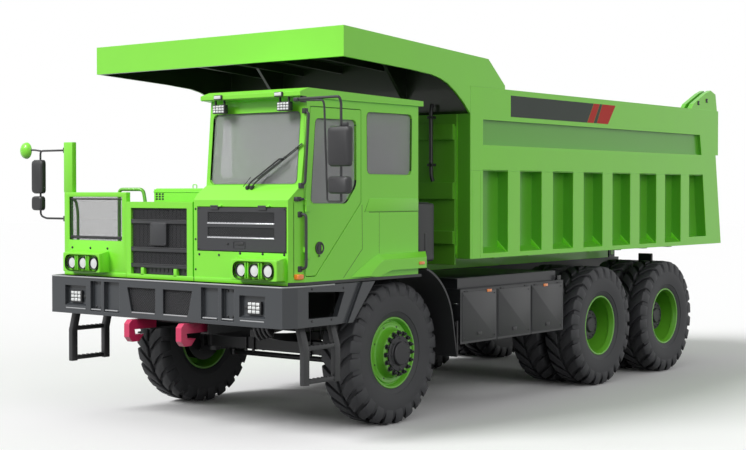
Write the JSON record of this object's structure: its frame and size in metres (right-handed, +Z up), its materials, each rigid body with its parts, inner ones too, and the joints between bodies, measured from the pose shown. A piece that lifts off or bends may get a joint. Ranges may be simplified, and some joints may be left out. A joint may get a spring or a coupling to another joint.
{
  "type": "wide-body mining dump truck",
  "caption": "Wide-body mining dump truck with an offset cab, a ribbed tipping bed under a canopy, a top-hung tailgate, a front telescopic hoist and twin rear wheels.",
  "frame": {"origin": "on the ground, on the centre line, midway between the tow hooks' noses and the bed's tail", "axes": "+Z up, -Y forwards, +X to the vehicle's left, the cab's side"},
  "size_m": [4.74, 9.368, 4.029],
  "materials": {
    "green_paint": "satin",
    "frame_paint": "satin",
    "bumper_paint": "satin",
    "wheel_paint": "satin",
    "tyre_rubber": "matte",
    "glass": "clear",
    "black_plastic": "matte",
    "lamp_lens": "gloss",
    "flap_paint": "satin",
    "hook_paint": "gloss",
    "hoist_paint": "satin",
    "hoist_chrome": "polished"
  },
  "bodies": {
    "chassis": {"battery_boxes": "bumper_paint", "bumper": "bumper_paint", "cab_glass": "glass", "cab_interior": "black_plastic", "cab_roof": "green_paint", "cab_shell": "green_paint", "centre_grille": "green_paint", "crossmembers": "frame_paint", "deck": "frame_paint", "drive_motor": "frame_paint", "fence_panel": "green_paint", "fenders": "green_paint", "frame": "frame_paint", "front_axle": "frame_paint", "headlamp_pods": "green_paint", "hoist_beam": "frame_paint", "ladders": "frame_paint", "lamps": "lamp_lens", "mirrors": "black_plastic", "mudguards": "black_plastic", "power_cabinet": "bumper_paint", "rear_axles": "frame_paint", "suspension": "frame_paint", "tow_hooks": "hook_paint"},
    "bed": {"bed_body": "green_paint", "headboard": "green_paint", "hoist_bracket": "green_paint", "canopy": "green_paint"},
    "tailgate": {"tailgate": "green_paint"},
    "door": {"cab_door": "green_paint", "door_glass": "glass"},
    "service_flap": {"service_flap": "flap_paint"},
    "knuckle_left": {"knuckle_left": "frame_paint"},
    "knuckle_right": {"knuckle_right": "frame_paint"},
    "tie_rod": {"tie_rod": "frame_paint"},
    "front_wheel_left": {"front_tyre_left": "tyre_rubber", "front_rim_left": "wheel_paint"},
    "front_wheel_right": {"front_tyre_right": "tyre_rubber", "front_rim_right": "wheel_paint"},
    "middle_wheels_left": {"middle_tyres_left": "tyre_rubber", "middle_rims_left": "wheel_paint"},
    "middle_wheels_right": {"middle_tyres_right": "tyre_rubber", "middle_rims_right": "wheel_paint"},
    "rear_wheels_left": {"rear_tyres_left": "tyre_rubber", "rear_rims_left": "wheel_paint"},
    "rear_wheels_right": {"rear_tyres_right": "tyre_rubber", "rear_rims_right": "wheel_paint"},
    "hoist_barrel": {"hoist_barrel": "hoist_paint"},
    "hoist_stage_1": {"hoist_stage_1": "hoist_chrome"},
    "hoist_stage_2": {"hoist_stage_2": "hoist_chrome"},
    "hoist_stage_3": {"hoist_stage_3": "hoist_chrome", "hoist_rod_eye": "hoist_chrome"}
  },
  "joints": [
    {"name": "bed_tip", "type": "hinge", "parent": "chassis", "child": "bed", "pos_m": [0, 3.871, 1.55], "axis": [-1, 0, 0], "range_deg": [0, 45]},
    {"name": "tailgate_swing", "type": "hinge", "parent": "bed", "child": "tailgate", "pos_m": [0, 4.391, 3.71], "axis": [1, 0, 0], "range_deg": [0, 60]},
    {"name": "door_hinge", "type": "hinge", "parent": "chassis", "child": "door", "pos_m": [1.7, -4.299, 2.2], "axis": [0, 0, -1], "range_deg": [0, 70]},
    {"name": "service_flap_hinge", "type": "hinge", "parent": "chassis", "child": "service_flap", "pos_m": [0.993, -4.462, 2.28], "axis": [-1, 0, 0], "range_deg": [0, 75]},
    {"name": "steer_left", "type": "hinge", "parent": "chassis", "child": "knuckle_left", "pos_m": [1.06, -2.729, 0.745], "axis": [0, 0, 1], "range_deg": [-35, 35]},
    {"name": "steer_right", "type": "hinge", "parent": "chassis", "child": "knuckle_right", "pos_m": [-1.06, -2.729, 0.745], "axis": [0, 0, 1], "range_deg": [-35, 35]},
    {"name": "tie_rod_joint", "type": "hinge", "parent": "knuckle_left", "child": "tie_rod", "pos_m": [1.06, -2.399, 0.6], "axis": [0, 0, 1], "range_deg": [-35, 35]},
    {"name": "front_wheel_left_spin", "type": "hinge", "parent": "knuckle_left", "child": "front_wheel_left", "pos_m": [1.365, -2.729, 0.745], "axis": [1, 0, 0], "continuous": true},
    {"name": "front_wheel_right_spin", "type": "hinge", "parent": "knuckle_right", "child": "front_wheel_right", "pos_m": [-1.365, -2.729, 0.745], "axis": [1, 0, 0], "continuous": true},
    {"name": "middle_wheels_left_spin", "type": "hinge", "parent": "chassis", "child": "middle_wheels_left", "pos_m": [1.287, 1.332, 0.745], "axis": [1, 0, 0], "continuous": true},
    {"name": "middle_wheels_right_spin", "type": "hinge", "parent": "chassis", "child": "middle_wheels_right", "pos_m": [-1.287, 1.332, 0.745], "axis": [1, 0, 0], "continuous": true},
    {"name": "rear_wheels_left_spin", "type": "hinge", "parent": "chassis", "child": "rear_wheels_left", "pos_m": [1.287, 3.105, 0.745], "axis": [1, 0, 0], "continuous": true},
    {"name": "rear_wheels_right_spin", "type": "hinge", "parent": "chassis", "child": "rear_wheels_right", "pos_m": [-1.287, 3.105, 0.745], "axis": [1, 0, 0], "continuous": true},
    {"name": "hoist_tilt", "type": "hinge", "parent": "chassis", "child": "hoist_barrel", "pos_m": [0, -2.009, 1.1], "axis": [-1, 0, 0], "range_deg": [0, 23.82]},
    {"name": "hoist_slide_1", "type": "slide", "parent": "hoist_barrel", "child": "hoist_stage_1", "axis": [0, 0.0681, 0.9977], "range_m": [0, 1.4392]},
    {"name": "hoist_slide_2", "type": "slide", "parent": "hoist_stage_1", "child": "hoist_stage_2", "axis": [0, 0.0681, 0.9977], "range_m": [0, 1.4392]},
    {"name": "hoist_slide_3", "type": "slide", "parent": "hoist_stage_2", "child": "hoist_stage_3", "axis": [0, 0.0681, 0.9977], "range_m": [0, 1.4392]}
  ],
  "couplings": [
    {"joint": "steer_right", "follows": "steer_left", "ratio": 1},
    {"joint": "tie_rod_joint", "follows": "steer_left", "ratio": -1},
    {"joint": "hoist_tilt", "follows": "bed_tip", "ratio": 0.52722},
    {"joint": "hoist_slide_1", "follows": "bed_tip", "m_per_rad": 1.8298},
    {"joint": "hoist_slide_2", "follows": "bed_tip", "m_per_rad": 1.8298},
    {"joint": "hoist_slide_3", "follows": "bed_tip", "m_per_rad": 1.8298}
  ]
}
